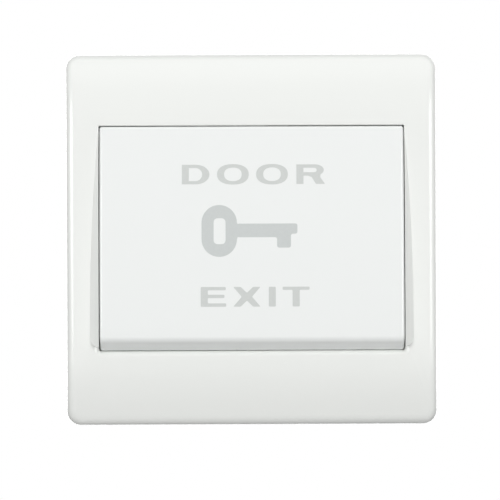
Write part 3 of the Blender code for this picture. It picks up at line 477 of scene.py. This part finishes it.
def fix_order(shape):
    """Sorts a bmesh, because its operators leave an order that varies from run to run."""
    for i, vert in enumerate(sorted(shape.verts, key=lambda v: tuple(v.co))):
        vert.index = i
    shape.verts.sort()
    for sequence in (shape.edges, shape.faces):
        ordered = sorted(sequence, key=lambda part: sorted(v.index for v in part.verts))
        for i, element in enumerate(ordered):
            element.index = i
        sequence.sort()


def printed(name, forms, finish):
    """Thin ink film on the button's face, cut into strips so that it follows the curve."""
    film = bmesh.new()
    for outlines in forms:
        edges = []
        for outline in outlines:
            loop = [film.verts.new((x / 1000, 0.0, z / 1000)) for x, z in outline]
            edges += [film.edges.new((loop[i - 1], loop[i])) for i in range(len(loop))]
        bmesh.ops.triangle_fill(film, edges=edges, use_beauty=True, normal=(0.0, -1.0, 0.0))
    low = min(v.co.z for v in film.verts)
    high = max(v.co.z for v in film.verts)
    for i in range(1, math.ceil((high - low) / PRINT_STRIP)):
        geometry = film.verts[:] + film.edges[:] + film.faces[:]
        cut = (0, 0, low + i * PRINT_STRIP)
        bmesh.ops.bisect_plane(film, geom=geometry, plane_co=cut, plane_no=(0, 0, 1))
    for vert in film.verts:
        start = Vector((vert.co.x, RAY_START, vert.co.z))
        vert.co.y = button_face.ray_cast(start, Vector((0, 1, 0)))[0].y - PRINT_PROUD
    skin = film.faces[:]
    back = bmesh.ops.extrude_face_region(film, geom=skin, use_keep_orig=True)["geom"]
    moved = [g for g in back if isinstance(g, bmesh.types.BMVert)]
    bmesh.ops.translate(film, verts=moved, vec=(0.0, PRINT_PROUD + PRINT_SUNK, 0.0))
    bmesh.ops.recalc_face_normals(film, faces=film.faces)
    fix_order(film)
    made = added(name, mesh_from(film, name))
    made.data.materials.append(finish)
    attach(made, "button")


upper_word = [(-15.93, letter_d), (-7.86, letter_o), (1.11, letter_o), (10.34, letter_r)]
lower_word = [(-11.70, letter_e), (-4.25, letter_x), (3.89, letter_i), (7.05, letter_t)]
printed("print_word_upper", word(12.67, 17.15, upper_word), finishes["print_grey_thin"])
printed("print_word_lower", word(-15.39, -10.86, lower_word), finishes["print_grey_thin"])
printed("print_key", [key_outline()], finishes["print_grey"])


# Return spring


def coil_spring(name, wire, turns, closed_pitch, around=12, steps=30):
    """Round wire wound between the ends of the CAD spring, with closed end turns."""
    low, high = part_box("return_spring")
    radius = (high.x - low.x) / 2 - wire / 2
    first, last = low.y + wire / 2, high.y - wire / 2
    pitch = (last - first - 2 * closed_pitch) / (turns - 2)
    coil = bmesh.new()
    rings = []
    for step in range(turns * steps + 1):
        turn = step / steps
        middle = min(max(turn - 1, 0), turns - 2)
        angle = 2 * math.pi * turn
        out = Vector((math.cos(angle), 0.0, math.sin(angle)))
        advance = first + closed_pitch * (turn - middle) + pitch * middle
        centre = out * radius + Vector((0.0, advance, 0.0))
        ring = []
        for i in range(around):
            side = 2 * math.pi * i / around
            reach = out * math.cos(side) + Vector((0, math.sin(side), 0))
            ring.append(coil.verts.new(centre + reach * wire / 2))
        rings.append(ring)
    for near, far in zip(rings, rings[1:]):
        for i in range(around):
            coil.faces.new((near[i - 1], near[i], far[i], far[i - 1]))
    coil.faces.new(rings[0])
    coil.faces.new(rings[-1])
    bmesh.ops.recalc_face_normals(coil, faces=coil.faces)
    made = added(name, mesh_from(coil, name))
    made.data.shade_smooth()
    made.data.materials.append(finishes["spring_steel"])
    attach(made, "housing")
    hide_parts("return_spring")
    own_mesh(made)


coil_spring("return_spring_coil", wire=0.0006, turns=7, closed_pitch=0.0007)


# Floor, light and camera


def seen_by(tree, *rays):
    """1 for the named kinds of ray and 0 for the others, such as those that bring light."""
    path = tree.nodes.new("ShaderNodeLightPath")
    either = path.outputs[rays[0]]
    for ray in rays[1:]:
        larger = tree.nodes.new("ShaderNodeMath")
        larger.operation = "MAXIMUM"
        tree.links.new(either, larger.inputs[0])
        tree.links.new(path.outputs[ray], larger.inputs[1])
        either = larger.outputs["Value"]
    return either


def surroundings(ambient):
    """White room: full white where it is seen, and weaker as the light that it gives."""
    world = bpy.data.worlds.new("white_room")
    world.use_nodes = True
    tree = world.node_tree
    background = tree.nodes["Background"]
    background.inputs["Color"].default_value = (1.0, 1.0, 1.0, 1.0)
    shown = seen_by(tree, "Is Camera Ray", "Is Glossy Ray", "Is Transmission Ray")
    strength = ranged(tree, shown, ambient, 1.0, (0.0, 1.0))
    tree.links.new(strength, background.inputs["Strength"])
    bpy.context.scene.world = world


def floor(height, side, lift):
    """Pale floor that keeps the shadow; the lift whitens it only where it is seen."""
    grid = bmesh.new()
    bmesh.ops.create_grid(grid, x_segments=4, y_segments=4, size=side / 2)
    ground = added("floor", mesh_from(grid, "floor"))
    ground.location = (0.0, 0.0, height)
    made, tree, shader = shader_of("floor_white", (0.55, 0.55, 0.55), 0.9)
    shader.inputs["Emission Color"].default_value = (1.0, 1.0, 1.0, 1.0)
    strength = ranged(tree, seen_by(tree, "Is Camera Ray"), 0.0, lift, (0.0, 1.0))
    tree.links.new(strength, shader.inputs["Emission Strength"])
    ground.data.materials.append(made)


def soft_light(name, azimuth, elevation, distance, size, power):
    """Rectangular lamp that faces the object. Azimuth 0 is in front, and 90 is on its right."""
    data = bpy.data.lights.new(name, "AREA")
    data.shape = "RECTANGLE"
    data.size, data.size_y = size
    data.energy = power
    lamp = added(name, data)
    turn, rise = math.radians(azimuth), math.radians(elevation)
    across = math.cos(rise)
    place = Vector((math.sin(turn) * across, -math.cos(turn) * across, math.sin(rise)))
    lamp.location = place * distance
    lamp.rotation_euler = place.to_track_quat("Z", "Y").to_euler()


def camera():
    """At the photograph's place, straight in front and turned slightly to frame the plate."""
    data = bpy.data.cameras.new("camera")
    data.sensor_width = 36.0
    data.lens = CAMERA_LENS
    data.clip_start, data.clip_end = 0.01, 20.0
    made = added("camera", data)
    made.location = CAMERA_PLACE
    made.rotation_euler = [math.radians(turn) for turn in CAMERA_TURN]
    bpy.context.scene.camera = made


surroundings(ambient=0.29)
floor(height=-0.80, side=8.0, lift=0.9)
for lamp_name, look in LAMPS.items():
    soft_light(lamp_name, *look)
camera()
bpy.context.scene.view_settings.view_transform = "Standard"
